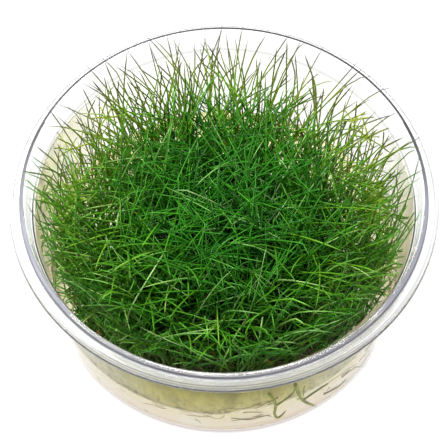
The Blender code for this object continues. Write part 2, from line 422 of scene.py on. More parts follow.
def band(tree, source, low, high, soft):
    """1 where a value is between two limits, with soft ends."""
    up = value_range(tree, source, 0.0, 1.0, low - soft, low + soft)
    down = value_range(tree, source, 1.0, 0.0, high - soft, high + soft)
    return arithmetic(tree, "MULTIPLY", up, down)


def dress(tree, shader, colour, roughness, height, depth, strength):
    """A surface's colour, its roughness (a grain and its two limits) and a bump of a depth in metres."""
    grain, low, high = roughness
    tree.links.new(colour, shader.inputs["Base Color"])
    tree.links.new(value_range(tree, grain, low, high), shader.inputs["Roughness"])
    bump = add_node(tree, "ShaderNodeBump")
    bump.inputs["Distance"].default_value = depth
    bump.inputs["Strength"].default_value = strength
    tree.links.new(height, bump.inputs["Height"])
    tree.links.new(bump.outputs["Normal"], shader.inputs["Normal"])


def plus_share(tree, value, other, share):
    """A value with a share of another one added."""
    return arithmetic(tree, "ADD", value, arithmetic(tree, "MULTIPLY", other, share))


def clear_plastic(name, clearness, bend):
    """Thin clear moulded plastic with slow ripples from the mould, and painted dark and tan rings where it
    turns, standing in for the lines that refraction draws there, strongest on the near side.
    """
    material, tree, shader = new_material(name)
    set_values(shader, Transmission_Weight=clearness, IOR=bend)
    marks = place_group(tree, MOTTLE, Blotch_Scale=45.0, Grain_Scale=900.0)
    place = place_group(tree, ROUND_PLACE)
    near = value_range(tree, place.outputs["Back"], 1.0, 0.25, -35 * MM, 0.0)
    all_round = value_range(tree, place.outputs["Back"], 1.0, 0.6, -35 * MM, 30 * MM)
    ledge = (LEDGE_RADIUS - 0.2 * MM, LEDGE_RADIUS + 0.3 * MM,
             LEDGE_HEIGHT - 0.5 * MM, LEDGE_HEIGHT + 0.2 * MM)
    flange_line = (FLANGE_RADIUS - 1.0 * MM, FLANGE_RADIUS - 0.8 * MM, FLANGE_EDGE_FOOT, CUP_HEIGHT)
    flange_edge = (FLANGE_RADIUS - 0.2 * MM, FLANGE_RADIUS + MM, FLANGE_EDGE_FOOT + 0.4 * MM, CUP_HEIGHT)
    flange_foot = (FLANGE_RADIUS - 0.6 * MM, FLANGE_RADIUS + MM,
                   FLANGE_EDGE_FOOT - MM, FLANGE_EDGE_FOOT + 0.08 * MM)
    foot_turn = (FOOT_RADIUS - 3.4 * MM, FOOT_RADIUS, 0.3 * MM, 1.8 * MM)
    standing_ring = (FOOT_RADIUS - 2.6 * MM, FOOT_RADIUS, -MM, 0.35 * MM)
    colour = (0.985, 0.988, 0.99)
    # Painted rings: dark and tan bands where the plastic turns, for the lines that refraction draws there;
    # near and all_round make them strongest on the near side
    for (inner, outer, low, high), tint, share in (
        (ledge, (0.26, 0.25, 0.18), all_round),
        (flange_line, (0.40, 0.40, 0.43), near),
        (flange_edge, (0.50, 0.50, 0.53), near),
        (flange_foot, (0.12, 0.12, 0.12), near),
        (foot_turn, (0.88, 0.78, 0.68), near),
        (standing_ring, (0.42, 0.36, 0.36), near),
    ):
        ring = arithmetic(tree, "MULTIPLY", band(tree, place.outputs["Away"], inner, outer, RING_SOFTNESS),
                          band(tree, place.outputs["Height"], low, high, RING_SOFTNESS))
        colour = mix_colour(tree, arithmetic(tree, "MULTIPLY", ring, share), colour, tint)
    dress(tree, shader, colour, (marks.outputs["Grain"], 0.01, 0.05), marks.outputs["Height"], 0.02 * MM, 0.1)
    return material


def lip_edge():
    """The lip's outer edge, where the plastic turns sharply: painted dark for the line that refraction draws
    there, and painted darker at the far side.
    """
    material, tree, shader = new_material("clear_plastic_lip_edge")
    set_values(shader, Transmission_Weight=0.12, IOR=LIP_EDGE_BEND, Specular_IOR_Level=0.1)
    marks = place_group(tree, MOTTLE, Blotch_Scale=60.0, Grain_Scale=900.0)
    place = place_group(tree, ROUND_PLACE)
    colour = ramp(tree, value_range(tree, place.outputs["Back"], 0.0, 1.0, -40 * MM, 15 * MM), (
        (0.0, (0.32, 0.32, 0.38)), (0.5, (0.28, 0.28, 0.34)),
        (0.75, (0.17, 0.17, 0.20)), (1.0, (0.05, 0.048, 0.055))))
    shade = ramp(tree, marks.outputs["Blotch"], ((0.3, grey(0.8)), (0.7, grey(1.15))))
    colour = mix_colour(tree, 1.0, colour, shade, blend="MULTIPLY")
    dress(tree, shader, colour, (marks.outputs["Grain"], 0.1, 0.25), marks.outputs["Height"], 0.02 * MM, 0.1)
    return material


def set_gel():
    """Wet, milky tan gel that things show through: pinkish below and yellow on top, its top face painted pale
    for light coming up through it, and painted shadow on it under the turf.
    """
    material, tree, shader = new_material("nutrient_gel_set")
    set_values(shader, Transmission_Weight=0.8, IOR=GEL_BEND, Specular_IOR_Level=0.3)
    marks = place_group(tree, MOTTLE, Blotch_Scale=110.0, Grain_Scale=1400.0)
    place = place_group(tree, ROUND_PLACE)
    away, height, back = (place.outputs[side] for side in ("Away", "Height", "Back"))
    colour = ramp(tree, marks.outputs["Blotch"], (
        (0.3, (0.95, 0.73, 0.42)), (0.5, (0.97, 0.81, 0.54)), (0.7, (0.98, 0.88, 0.68))))
    upper = value_range(tree, height, 0.0, 0.85, 7 * MM, GEL_TOP)
    colour = mix_colour(tree, upper, colour, (0.94, 0.80, 0.34))
    lower = value_range(tree, height, 0.8, 0.0, 1 * MM, 7 * MM)
    colour = mix_colour(tree, lower, colour, (0.97, 0.83, 0.68))
    underside = value_range(tree, height, 1.0, 0.0, 1.1 * MM, 1.6 * MM)
    colour = mix_colour(tree, underside, colour, (1.0, 0.98, 0.93))
    fleck = value_range(tree, marks.outputs["Grain"], 0.0, 0.7, 0.60, 0.68)
    colour = mix_colour(tree, arithmetic(tree, "MULTIPLY", fleck, upper), colour, (0.34, 0.20, 0.07))
    # Painted light: the top face paler, for light coming up through the gel from the table
    on_top = value_range(tree, height, 0.0, 1.0, GEL_TOP - 0.4 * MM, GEL_TOP - 0.1 * MM)
    colour = mix_colour(tree, arithmetic(tree, "MULTIPLY", on_top, 0.95), colour, (1.0, 1.0, 0.55))
    climb = arithmetic(tree, "MULTIPLY", band(tree, height, GEL_TOP - 0.3 * MM, GEL_TOP + MM, 0.1 * MM),
                       value_range(tree, away, 0.0, 1.0, 39.3 * MM, 39.9 * MM))
    climb = arithmetic(tree, "MULTIPLY", climb, value_range(tree, back, 1.0, 0.0, -34 * MM, -8 * MM))
    colour = mix_colour(tree, climb, colour, (0.55, 0.44, 0.22))
    # Painted shadow: the top face near black under the turf, reaching farther out on the near side
    shade = value_range(tree, plus_share(tree, away, back, 0.55), 1.0, 0.0, 24 * MM, 33 * MM)
    shade = arithmetic(tree, "MULTIPLY", shade, on_top)
    shade = arithmetic(tree, "MULTIPLY", shade, value_range(tree, away, 1.0, 0.25, 34 * MM, 38 * MM))
    colour = mix_colour(tree, shade, colour, (0.002, 0.0015, 0.0006))
    dress(tree, shader, colour, (marks.outputs["Grain"], 0.08, 0.2), marks.outputs["Height"], 0.5 * MM, 0.6)
    return material


def ripple_group():
    """Upright runs and folds in a film that dried on a wall: a mask and its height."""
    group, entry, leave = open_group("wall_ripples", ("Scale",), ("Ripple",))
    place = add_node(group, "ShaderNodeTexCoord")
    stretch = add_node(group, "ShaderNodeMapping")
    stretch.inputs["Scale"].default_value = (1.0, 1.0, 0.22)
    noise = add_node(group, "ShaderNodeTexNoise")
    noise.inputs["Detail"].default_value = 2.0
    noise.inputs["Distortion"].default_value = 0.8
    group.links.new(place.outputs["Object"], stretch.inputs["Vector"])
    group.links.new(stretch.outputs["Vector"], noise.inputs["Vector"])
    group.links.new(entry.outputs["Scale"], noise.inputs["Scale"])
    group.links.new(noise.outputs["Fac"], leave.inputs["Ripple"])
    return group


def gel_film():
    """The thin milky film that the gel left on the wall: tan at the sides, and olive before the turf, painted
    darker upwards for the shade of the turf and flange above it.
    """
    material, tree, shader = new_material("gel_film_on_wall")
    set_values(shader, Transmission_Weight=0.86, IOR=FILM_BEND, Specular_IOR_Level=0.3)
    marks = place_group(tree, MOTTLE, Blotch_Scale=140.0, Grain_Scale=900.0)
    fine = place_group(tree, MOTTLE, Blotch_Scale=650.0, Grain_Scale=1500.0)
    ripple = place_group(tree, RIPPLES, Scale=520.0).outputs["Ripple"]
    place = place_group(tree, ROUND_PLACE)
    right, back, height = (place.outputs[side] for side in ("Right", "Back", "Height"))
    tan = ramp(tree, marks.outputs["Blotch"], (
        (0.3, (0.93, 0.86, 0.56)), (0.5, (0.97, 0.92, 0.68)), (0.7, (0.99, 0.96, 0.80))))
    # Painted shade: before the turf the film is olive, painted darker towards its top for the shade of the
    # turf and flange
    olive = ramp(tree, value_range(tree, height, 0.0, 1.0, GEL_TOP, FILM_TOP), (
        (0.0, (0.98, 0.88, 0.44)), (0.15, (0.94, 0.86, 0.36)),
        (0.6, (0.80, 0.75, 0.25)), (1.0, (0.50, 0.47, 0.16))))
    before = arithmetic(tree, "MULTIPLY", value_range(tree, back, 1.0, 0.0, -36 * MM, -26 * MM),
                        band(tree, right, -20 * MM, 19 * MM, 6 * MM))
    colour = mix_colour(tree, before, tan, olive)
    low = value_range(tree, height, 1.0, 0.1, GEL_TOP + 2 * MM, GEL_TOP + 9 * MM)
    for grain, share, start, tint in (
        (marks.outputs["Grain"], 0.85, 0.53, (1.0, 0.98, 0.80)),
        (fine.outputs["Blotch"], 0.6, 0.55, (0.16, 0.11, 0.03)),
        (fine.outputs["Grain"], 0.9, 0.57, (1.0, 0.98, 0.80)),
    ):
        crumbs = arithmetic(tree, "MULTIPLY", value_range(tree, grain, 0.0, share, start, start + 0.07), low)
        colour = mix_colour(tree, crumbs, colour, tint)
    folds = value_range(tree, ripple, 0.88, 1.08, 0.38, 0.62)
    colour = mix_colour(tree, 1.0, colour, folds, blend="MULTIPLY")
    fading = value_range(tree, plus_share(tree, back, right, 0.2), 1.0, 0.22, *FILM_FADE)
    tree.links.new(fading, shader.inputs["Alpha"])
    dress(tree, shader, colour, (marks.outputs["Grain"], 0.4, 0.6), ripple, 0.6 * MM, 0.7)
    return material


def blade_green():
    """Living blades: each its own green, painted yellow-green near the wall as if lit through from behind,
    painted darker towards its foot for the shade deep in the turf, and dark at its far tip.

    The mesh's "blade" colours hold a blade's own green, how far along it a point is, whether it
    is dead, and how near the wall it grows.
    """
    material, tree, shader = new_material("hairgrass_blade")
    set_values(shader, Specular_IOR_Level=0.35)
    tint = add_node(tree, "ShaderNodeAttribute", attribute_name="blade")
    parts = add_node(tree, "ShaderNodeSeparateColor")
    tree.links.new(tint.outputs["Color"], parts.inputs["Color"])
    own, along, dead = parts.outputs
    outer = tint.outputs["Alpha"]
    marks = place_group(tree, MOTTLE, Blotch_Scale=160.0, Grain_Scale=5200.0)
    place = place_group(tree, ROUND_PLACE)
    away, back = place.outputs["Away"], place.outputs["Back"]
    far = arithmetic(tree, "MULTIPLY", value_range(tree, back, 0.0, 1.0, -2 * MM, 16 * MM),
                     value_range(tree, away, 0.0, 1.0, 25 * MM, 37 * MM))
    colour = ramp(tree, own, (
        (0.0, (0.005, 0.050, 0.002)), (0.4, (0.017, 0.180, 0.005)),
        (0.75, (0.060, 0.320, 0.012)), (1.0, (0.30, 0.52, 0.19))))
    # Painted shade: every blade darker towards its foot, for the shade deep in the turf
    foot = ramp(tree, along, ((0.0, grey(1.0)), (0.4, grey(0.6)), (0.7, grey(0.0))))
    colour = mix_colour(tree, foot, colour, (0.015, 0.050, 0.006))
    # Painted backlight: near the wall, and most at the far side, blades are painted yellow-green as if lit
    # through from behind
    side_green = ramp(tree, own, (
        (0.1, (0.06, 0.22, 0.004)), (0.5, (0.16, 0.37, 0.006)), (0.9, (0.40, 0.57, 0.03))))
    far_green = (0.40, 0.48, 0.006)
    backlight_green = mix_colour(tree, arithmetic(tree, "MULTIPLY", far, 0.9), side_green, far_green)
    fading = value_range(tree, along, 0.9, 0.5, 0.3, 0.9)
    painted_backlight = arithmetic(tree, "MULTIPLY", outer, arithmetic(tree, "MAXIMUM", fading, far))
    colour = mix_colour(tree, painted_backlight, colour, backlight_green)
    tip = ramp(tree, along, ((0.66, grey(0.0)), (0.92, grey(0.95))))
    rim = value_range(tree, plus_share(tree, away, back, 0.25), 0.0, 1.0, 34 * MM, 41 * MM)
    dusky = arithmetic(tree, "MULTIPLY", arithmetic(tree, "MULTIPLY", tip, far), rim)
    colour = mix_colour(tree, dusky, colour, (0.055, 0.062, 0.034))
    colour = mix_colour(tree, dead, colour, (0.42, 0.15, 0.05))
    shade = ramp(tree, marks.outputs["Blotch"], ((0.3, (0.70, 0.74, 0.66)), (0.7, (1.25, 1.18, 1.12))))
    colour = mix_colour(tree, 1.0, colour, shade, blend="MULTIPLY")
    dress(tree, shader, colour, (marks.outputs["Grain"], 0.36, 0.52), marks.outputs["Grain"], 0.03 * MM, 0.3)
    return material


def root_tan():
    """Fine roots, from straw to brown."""
    material, tree, shader = new_material("hairgrass_root")
    marks = place_group(tree, MOTTLE, Blotch_Scale=90.0, Grain_Scale=2200.0)
    colour = ramp(tree, marks.outputs["Blotch"], (
        (0.35, (0.16, 0.09, 0.03)), (0.5, (0.44, 0.33, 0.12)), (0.65, (0.62, 0.52, 0.26))))
    dress(tree, shader, colour, (marks.outputs["Grain"], 0.35, 0.55), marks.outputs["Grain"], 0.03 * MM, 0.4)
    return material


def runner_olive():
    """Runners and stalks behind the wall: olive, browner here and there."""
    material, tree, shader = new_material("hairgrass_runner")
    set_values(shader, Specular_IOR_Level=0.15)
    marks = place_group(tree, MOTTLE, Blotch_Scale=160.0, Grain_Scale=2600.0)
    colour = ramp(tree, marks.outputs["Blotch"], (
        (0.35, (0.20, 0.20, 0.004)), (0.5, (0.34, 0.38, 0.005)), (0.65, (0.42, 0.50, 0.01))))
    dress(tree, shader, colour, (marks.outputs["Grain"], 0.4, 0.6), marks.outputs["Grain"], 0.04 * MM, 0.5)
    return material


def pale_floor():
    """A plain white table that glows evenly, as in a light box, so that the cup throws no shadow."""
    material, tree, shader = new_material("pale_table")
    marks = place_group(tree, MOTTLE, Blotch_Scale=3.0, Grain_Scale=60.0)
    glow = ramp(tree, marks.outputs["Blotch"], ((0.2, grey(0.96)), (0.8, grey(1.0))))
    tree.links.new(mix_colour(tree, 1.0, glow, grey(0.12), blend="MULTIPLY"), shader.inputs["Base Color"])
    tree.links.new(glow, shader.inputs["Emission Color"])
    set_values(shader, Roughness=0.6, Emission_Strength=1.0)
    return material


def pixel_ray(pixel):
    """The camera's place and the direction in which it sees a pixel."""
    half = PHOTO_PIXELS / 2
    right, down = pixel[0] - half, pixel[1] - half
    away = Vector((1, 0, 0)) * right - CAMERA_UP * down - CAMERA_BACK * FOCAL_PIXELS
    return CAMERA_TARGET + CAMERA_BACK * CAMERA_DISTANCE, away.normalized()


def at_height(pixel, height):
    """The point that a pixel shows, if it is at a height."""
    eye, away = pixel_ray(pixel)
    return eye + away * ((height - eye.z) / away.z)


def on_near_wall(pixel, inset):
    """The point that a pixel shows on the near side of the cup's wall, a little inside it."""
    low, high = 0.5 * MM, LEDGE_HEIGHT
    for _ in range(30):
        middle = 0.5 * (low + high)
        point = at_height(pixel, middle)
        if math.hypot(point.x, point.y) > wall_radius(middle) - inset:
            high = middle
        else:
            low = middle
    away = math.hypot(point.x, point.y)
    reach = min(away, wall_radius(middle) - inset) / away
    return Vector((point.x * reach, point.y * reach, point.z))


def arc(centre, radius, start, end, count):
    """Points (r, z) on an arc about a centre, from one angle in degrees to another."""
    angles = [math.radians(start + (end - start) * i / (count - 1)) for i in range(count)]
    return [(centre[0] + radius * math.cos(a), centre[1] + radius * math.sin(a)) for a in angles]


def wall_radius(height):
    """The outside of the cup's tapering wall at a height."""
    return FOOT_RADIUS + (LEDGE_RADIUS + WALL - FOOT_RADIUS) * height / LEDGE_HEIGHT


def add_mesh(name, points, faces, material):
    """A smooth-shaded object from points and faces."""
    mesh = bpy.data.meshes.new(name)
    mesh.from_pydata([tuple(p) for p in points], [], faces)
    mesh.shade_smooth()
    mesh.materials.append(material)
    made = bpy.data.objects.new(name, mesh)
    bpy.context.scene.collection.objects.link(made)
    return made


def turned(name, profile, material, turns=TURNS):
    """A closed skin turned about Z from points (r, z) that run down its outer side."""
    angles = np.arange(turns) * math.tau / turns
    ring_r = np.array([p[0] for p in profile[1:-1]])
    ring_z = np.array([p[1] for p in profile[1:-1]])
    x = np.outer(ring_r, np.cos(angles))
    y = np.outer(ring_r, np.sin(angles))
    z = np.repeat(ring_z[:, None], turns, axis=1)
    points = np.stack([x, y, z], axis=-1).reshape(-1, 3)
    points = np.vstack([points, [(0, 0, profile[0][1])], [(0, 0, profile[-1][1])]])
    faces = []
    count = len(ring_r)
    for i in range(turns):
        j = (i + 1) % turns
        faces.append((count * turns, i, j))
        for k in range(count - 1):
            faces.append((k * turns + i, (k + 1) * turns + i, (k + 1) * turns + j, k * turns + j))
        faces.append((count * turns + 1, (count - 1) * turns + j, (count - 1) * turns + i))
    return add_mesh(name, points, faces, material)


def rounded(points, radius, count=4):
    """A profile with each inner corner replaced by a short curve."""
    result = [points[0]]
    for before, corner, after in zip(points, points[1:], points[2:]):
        corner = Vector(corner)
        to_before = Vector(before) - corner
        to_after = Vector(after) - corner
        reach = min(radius, 0.45 * to_before.length, 0.45 * to_after.length)
        start = corner + to_before.normalized() * reach
        end = corner + to_after.normalized() * reach
        for i in range(count):
            t = i / (count - 1)
            point = start * (1 - t) ** 2 + corner * 2 * t * (1 - t) + end * t * t
            result.append((point.x, point.y))
    result.append(points[-1])
    return result


def held(profile):
    """A profile with points near both ends of its long straight runs, so that they shade flat."""
    result = [profile[0]]
    for before, after in zip(profile, profile[1:]):
        run = Vector(after) - Vector(before)
        if run.length > LONG_RUN:
            step = run.normalized() * HELD_END
            result.append(tuple(Vector(before) + step))
            result.append(tuple(Vector(after) - step))
        result.append(after)
    return result


def cup_profile():
    """Up the inside from the floor, over the lip and flange, and down the outside."""
    inner_round = FOOT_ROUND - WALL
    inner_foot = wall_radius(FOOT_ROUND) - WALL
    outer_foot = wall_radius(FOOT_ROUND)
    shoulder = CUP_HEIGHT - 1.0 * MM
    under = shoulder - WALL
    inside = [(0.0, FLOOR)]
    inside += arc((inner_foot - inner_round, FLOOR + inner_round), inner_round, -90, -4, 8)
    rim = [
        (LEDGE_RADIUS, LEDGE_HEIGHT),
        (LEDGE_RADIUS + 0.4 * MM, LEDGE_HEIGHT + 0.2 * MM),
        (LIP_INNER, CUP_HEIGHT),
        (LIP_OUTER - LIP_EDGE, CUP_HEIGHT),
        (LIP_OUTER, CUP_HEIGHT),
        (LIP_OUTER + 0.1 * MM, shoulder),
        (FLANGE_RADIUS - 0.9 * MM, shoulder - 0.1 * MM),
        (FLANGE_RADIUS, FLANGE_EDGE_TOP),
        (FLANGE_RADIUS, FLANGE_EDGE_FOOT),
        (FLANGE_RADIUS - WALL, FLANGE_EDGE_FOOT),
        (FLANGE_RADIUS - 1.3 * MM, under),
        (LIP_INNER + 0.4 * MM, under),
        (LEDGE_RADIUS + WALL + 0.4 * MM, LEDGE_HEIGHT - 0.3 * MM),
        (wall_radius(LEDGE_HEIGHT - WALL), LEDGE_HEIGHT - WALL),
    ]
    outside = arc((outer_foot - FOOT_ROUND, FOOT_ROUND), FOOT_ROUND, -4, -90, 10)
    around = rounded([inside[-1]] + rim + [outside[0]], CORNER_ROUND)
    return held(inside[:-1] + around + outside[1:] + [(0.0, 0.0)])


def gel_profile():
    """Down the gel from the middle of its top, which climbs at the wall, to the middle of its underside."""
    side = wall_radius(GEL_TOP) - WALL - GEL_GAP
    bottom = FLOOR + GEL_GAP
    foot = wall_radius(FOOT_ROUND) - WALL - GEL_GAP
    foot_round = FOOT_ROUND - WALL
    top = [(r * MM, GEL_TOP) for r in range(0, 39, 2)]
    climb = [(side - GEL_CLIMB_WIDTH * (1 - t) ** 1.5, GEL_TOP + GEL_CLIMB * t * t)
             for t in (0.2, 0.4, 0.6, 0.8, 1.0)]
    down = arc((foot - foot_round, bottom + foot_round), foot_round, -4, -90, 8)
    return held(top + climb + down + [(0.0, bottom)])


def film_top(turn):
    """How high the film reaches round the wall: to the ledge, in small waves."""
    waves = sum(size * np.sin(count * turn + start) for size, count, start in FILM_WAVES)
    return FILM_TOP + FILM_WAVE_HEIGHT * waves - FILM_WAVE_DROP


def runner_room(turn):
    """How far the gel and its film stand back from the wall, where runners lie between them."""
    middle = 0.5 * (RUNNER_SECTOR[0] + RUNNER_SECTOR[1])
    half = 0.5 * (RUNNER_SECTOR[1] - RUNNER_SECTOR[0])
    aside = np.abs((turn - middle + math.pi) % math.tau - math.pi)
    share = np.clip((half + RUNNER_FADE - aside) / RUNNER_FADE, 0, 1)
    return RUNNER_ROOM * share * share * (3 - 2 * share)


def film_skin():
    """Points and faces of the film: a thin closed band just inside the wall."""
    turns = np.arange(TURNS) * math.tau / TURNS
    top = np.minimum(film_top(turns), FILM_TOP)
    share = np.linspace(0, 1, FILM_ROWS)
    height = FILM_FOOT + share[:, None] * (top - FILM_FOOT)[None, :]
    thickness = FILM_THICKNESS * (1 - 0.8 * share ** 6)[:, None]
    outside = wall_radius(height) - WALL - FILM_GAP - runner_room(turns)[None, :]
    skins = []
    for away in (outside, outside - thickness):
        skins.append(np.stack([away * np.cos(turns), away * np.sin(turns), height], axis=-1))
    points = np.concatenate([skin.reshape(-1, 3) for skin in skins])
    inner = FILM_ROWS * TURNS
    faces = []
    for i in range(TURNS):
        j = (i + 1) % TURNS
        for k in range(FILM_ROWS - 1):
            a, b, c, d = k * TURNS + i, k * TURNS + j, (k + 1) * TURNS + j, (k + 1) * TURNS + i
            faces.append((a, b, c, d))
            faces.append((inner + d, inner + c, inner + b, inner + a))
        faces.append((i, inner + i, inner + j, j))
        last = (FILM_ROWS - 1) * TURNS
        faces.append((last + j, inner + last + j, inner + last + i, last + i))
    return points, faces


def radius_limit(place):
    """How far from the axis a blade may stand: inside the wall, and past the lip only above its far side."""
    heights = place[..., 2]
    inside = wall_radius(heights) - WALL - BLADE_GAP
    lip = LIP_INNER - BLADE_GAP
    limit = np.where(heights < LEDGE_HEIGHT, inside, np.minimum(inside + 0.8 * MM, lip))
    far_side = np.clip(place[..., 1] / (10 * MM) + 1.0, 0, 1)
    above_lip = np.clip((heights - CUP_HEIGHT) / (1.5 * MM), 0, 1)
    return limit + (REACH_LIMIT - lip) * above_lip * far_side


def kept_in(place):
    """Points drawn back inside the cup, where they would go through it."""
    away = np.hypot(place[:, 0], place[:, 1])
    place[:, :2] *= np.minimum(1.0, radius_limit(place) / np.maximum(away, 1e-6))[:, None]
    return place


def past_limit(path, clearance):
    """Which of the blades come nearer to the wall than their own clearance."""
    away = np.hypot(path[..., 0], path[..., 1])
    return (away > radius_limit(path) - clearance[:, None]).any(axis=1)


def set_upright(path, clearance):
    """Blades that lean past the wall set more upright, each with its own clearance from the wall."""
    root = path[:, :1, :2].copy()
    lean = path[:, :, :2] - root
    share = np.ones(len(path))
    for _ in range(UPRIGHT_TRIES):
        path[:, :, :2] = root + lean * share[:, None, None]
        share[past_limit(path, clearance)] *= UPRIGHT_STEP
    return path


def turned_in(path, clearance, turned):
    """Some of the blades that lean past the wall leaned the other way, back over the turf."""
    root = path[:, :1, :2]
    lean = path[:, :, :2] - root
    outward = root / np.maximum(np.linalg.norm(root, axis=2, keepdims=True), 1e-9)
    over = past_limit(path, clearance) & turned
    along = (lean * outward).sum(axis=2, keepdims=True)
    path[:, :, :2] = np.where(over[:, None, None], root + lean - 2 * along * outward, path[:, :, :2])
    return path


def grown_paths(roots, azimuths, start_tilts, end_tilts, lengths, drift):
    """Each blade's line from its root, leaning over more and more."""
    path = np.zeros((len(roots), RINGS, 3))
    path[:, 0] = roots
    for step in range(1, RINGS):
        share = (step - 0.5) / (RINGS - 1)
        tilt = start_tilts + (end_tilts - start_tilts) * share ** BEND_GROWTH
        turn = azimuths + drift * share
        heading = np.stack(
            [np.sin(tilt) * np.cos(turn), np.sin(tilt) * np.sin(turn), np.cos(tilt)], axis=-1)
        path[:, step] = path[:, step - 1] + heading * (lengths / (RINGS - 1))[:, None]
        path[:, step, 2] = np.clip(path[:, step, 2], GEL_TOP + 0.2 * MM, TOP_LIMIT)
    return path


def path_through(points):
    """A smooth path of RINGS points through a few points."""
    points = np.array(points)
    steps = np.linalg.norm(np.diff(points, axis=0), axis=1)
    at = np.concatenate([[0], np.cumsum(steps)]) / steps.sum()
    fine = np.linspace(0, 1, 8 * RINGS)
    line = np.stack([np.interp(fine, at, points[:, i]) for i in range(3)], axis=-1)
    for _ in range(SMOOTHING):
        line[1:-1] = 0.5 * line[1:-1] + 0.25 * (line[:-2] + line[2:])
    return line[np.linspace(0, len(line) - 1, RINGS).astype(int)]


def root_under(place):
    """The root of a blade that dives in over a place: in the gel, and where turf still grows."""
    reach = min(1.0, OUTER_TURF / math.hypot(place.x, place.y))
    return Vector((place.x * reach, place.y * reach, GEL_TOP - ROOT_DEPTH))


def blade_through(points):
    """A blade through a few points, the first of them its root, kept inside the cup."""
    path = path_through(points)
    path[1:] = kept_in(path[1:])
    path[:, 2] = np.minimum(path[:, 2], TOP_LIMIT)
    return path


def far_blade(tip_pixel, lower_pixel):
    """A long blade at the far edge, by its tip and a place lower down."""
    rise = FAR_TIP_HEIGHT - GEL_TOP
    tip = at_height(tip_pixel, FAR_TIP_HEIGHT)
    middle = at_height(lower_pixel, GEL_TOP + FAR_MIDDLE_SHARE * rise)
    return blade_through([root_under(middle + (middle - tip) * FAR_CARRY_ON), middle, tip])


def over_blade(pixels):
    """An arching blade by three pixels, carried on from the lowest one to its root."""
    tip, middle, lower = (at_height(*pair) for pair in zip(pixels, OVER_HEIGHTS))
    return blade_through([root_under(lower + (lower - middle) * OVER_CARRY_ON), lower, middle, tip])


def tubes(path, radii):
    """Points and faces of a tube on every path, each a closed skin that tapers to a point."""
    count, rings = path.shape[:2]
    ahead = np.gradient(path, axis=1)
    ahead /= np.maximum(np.linalg.norm(ahead, axis=2, keepdims=True), 1e-9)
    chord = path[:, -1] - path[:, 0] + np.array([1e-6, 0, 0])
    level = np.stack([-chord[:, 1], chord[:, 0], np.zeros(count)], axis=-1)
    across = np.cross(ahead, level[:, None, :])
    across /= np.maximum(np.linalg.norm(across, axis=2, keepdims=True), 1e-9)
    other = np.cross(ahead, across)
    share = np.linspace(0, 1, rings)
    taper = (1 - 0.15 * share - 0.45 * share ** 12)[None, :] * radii[:, None]
    angles = np.arange(SIDES) * math.tau / SIDES
    ring = (across[:, :, None] * np.cos(angles)[None, None, :, None]
            + other[:, :, None] * np.sin(angles)[None, None, :, None])
    points = path[:, :, None] + ring * taper[:, :, None, None]
    points = points[:, :-1].reshape(count, -1, 3)
    points = np.concatenate([points, path[:, -1:, :]], axis=1)
    per_blade = points.shape[1]
    faces = [tuple(range(SIDES))[::-1]]
    for k in range(rings - 2):
        for i in range(SIDES):
            j = (i + 1) % SIDES
            faces.append((k * SIDES + i, k * SIDES + j, (k + 1) * SIDES + j, (k + 1) * SIDES + i))
    last = (rings - 2) * SIDES
    for i in range(SIDES):
        faces.append((last + i, last + (i + 1) % SIDES, per_blade - 1))
    every = []
    for first in range(0, count * per_blade, per_blade):
        every += [tuple(first + corner for corner in face) for face in faces]
    return points.reshape(-1, 3), every


def add_blades(name, path, radii, own, dead, material):
    """One piece of many blades, with what the blade material reads stored on its points."""
    points, faces = tubes(path, radii)
    made = add_mesh(name, points, faces, material)
    per_blade = len(points) // len(path)
    share = np.append(np.repeat(np.linspace(0, 1, RINGS)[:-1], SIDES), 1.0)
    away = np.hypot(path[..., 0], path[..., 1]).max(axis=1)
    # How much painted backlight a blade takes: more near the wall, and most at the far side
    facing = 0.5 + 0.5 * np.clip(path[:, 0, 1] / away / 0.6 + 0.6, -1, 1)
    outer = np.clip((away - 24 * MM) / (13 * MM), 0, 1) * facing
    values = np.stack([np.repeat(np.abs(own), per_blade), np.tile(share, len(path)),
                       np.repeat(dead, per_blade), np.repeat(outer, per_blade)], axis=-1)
    layer = made.data.color_attributes.new("blade", "FLOAT_COLOR", "POINT")
    layer.data.foreach_set("color", values.astype(np.float32).ravel())
    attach(made, "root")
    return made


def edge_thinning(roots):
    """How sparse and short the turf grows at a root: most at the far edge, above all at its right."""
    away = np.hypot(roots[:, 0], roots[:, 1])
    outer = np.clip((away - 22 * MM) / (12 * MM), 0, 1)
    right = np.clip(roots[:, 0] / away, 0, 1) * np.clip(0.6 + roots[:, 1] / (10 * MM), 0, 1)
    return outer * np.clip(0.5 + 1.0 * roots[:, 1] / away + 0.5 * right, 0, 1.2)


def scattered_roots(foot, count, dice):
    """The roots of one tuft's blades, gathered in small crowns, and none past the turf's edge."""
    away = dice.uniform(0, 1, CROWNS_PER_TUFT) ** 0.5 * CROWN_SPREAD
    turn = dice.uniform(0, math.tau, CROWNS_PER_TUFT)
    crowns = np.stack([foot[0] + away * np.cos(turn), foot[1] + away * np.sin(turn)], axis=-1)
    roots = np.zeros((count, 3))
    roots[:, :2] = crowns[dice.integers(0, CROWNS_PER_TUFT, count)] + dice.normal(0, ROOT_SPREAD, (count, 2))
    roots[:, 2] = GEL_TOP - ROOT_DEPTH
    outer = OUTER_TURF - FAR_SETBACK * np.clip(roots[:, 1] / (20 * MM), 0, 1)
    roots[:, :2] *= np.minimum(1.0, outer / np.hypot(roots[:, 0], roots[:, 1]))[:, None]
    return roots


